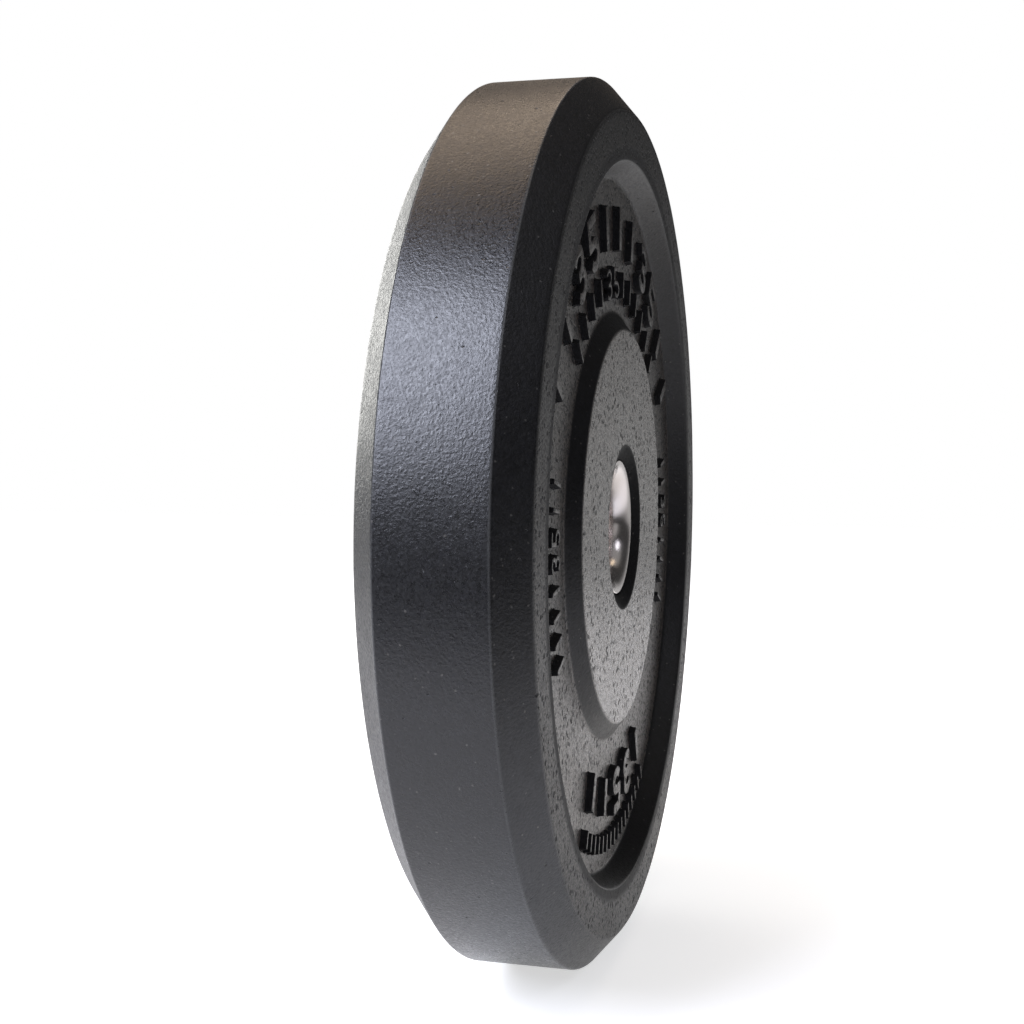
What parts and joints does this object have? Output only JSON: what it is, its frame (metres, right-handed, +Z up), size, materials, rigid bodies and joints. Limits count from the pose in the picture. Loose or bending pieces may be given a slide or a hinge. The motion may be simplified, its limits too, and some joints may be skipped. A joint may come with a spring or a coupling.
{
  "type": "bumper plate",
  "caption": "Round weight plate of crumb rubber with bevelled shoulders, a sunk field on each face, raised markings and a flared steel insert in its bore.",
  "frame": {"origin": "centre of the bore, midway between the two faces", "axes": "-Y out of the front face along the bore, +Z up towards the top of the markings, +X to the right as the front face is seen"},
  "size_m": [0.4498, 0.075, 0.4498],
  "materials": {
    "crumb_rubber": "moulded, fine grained, matt",
    "stainless_steel": "spun and polished",
    "mild_steel": "plain, cut from plate"
  },
  "bodies": {
    "root": {"rubber_body": "crumb_rubber", "insert_sleeve": "stainless_steel", "anchor_ring": "mild_steel"}
  },
  "joints": []
}
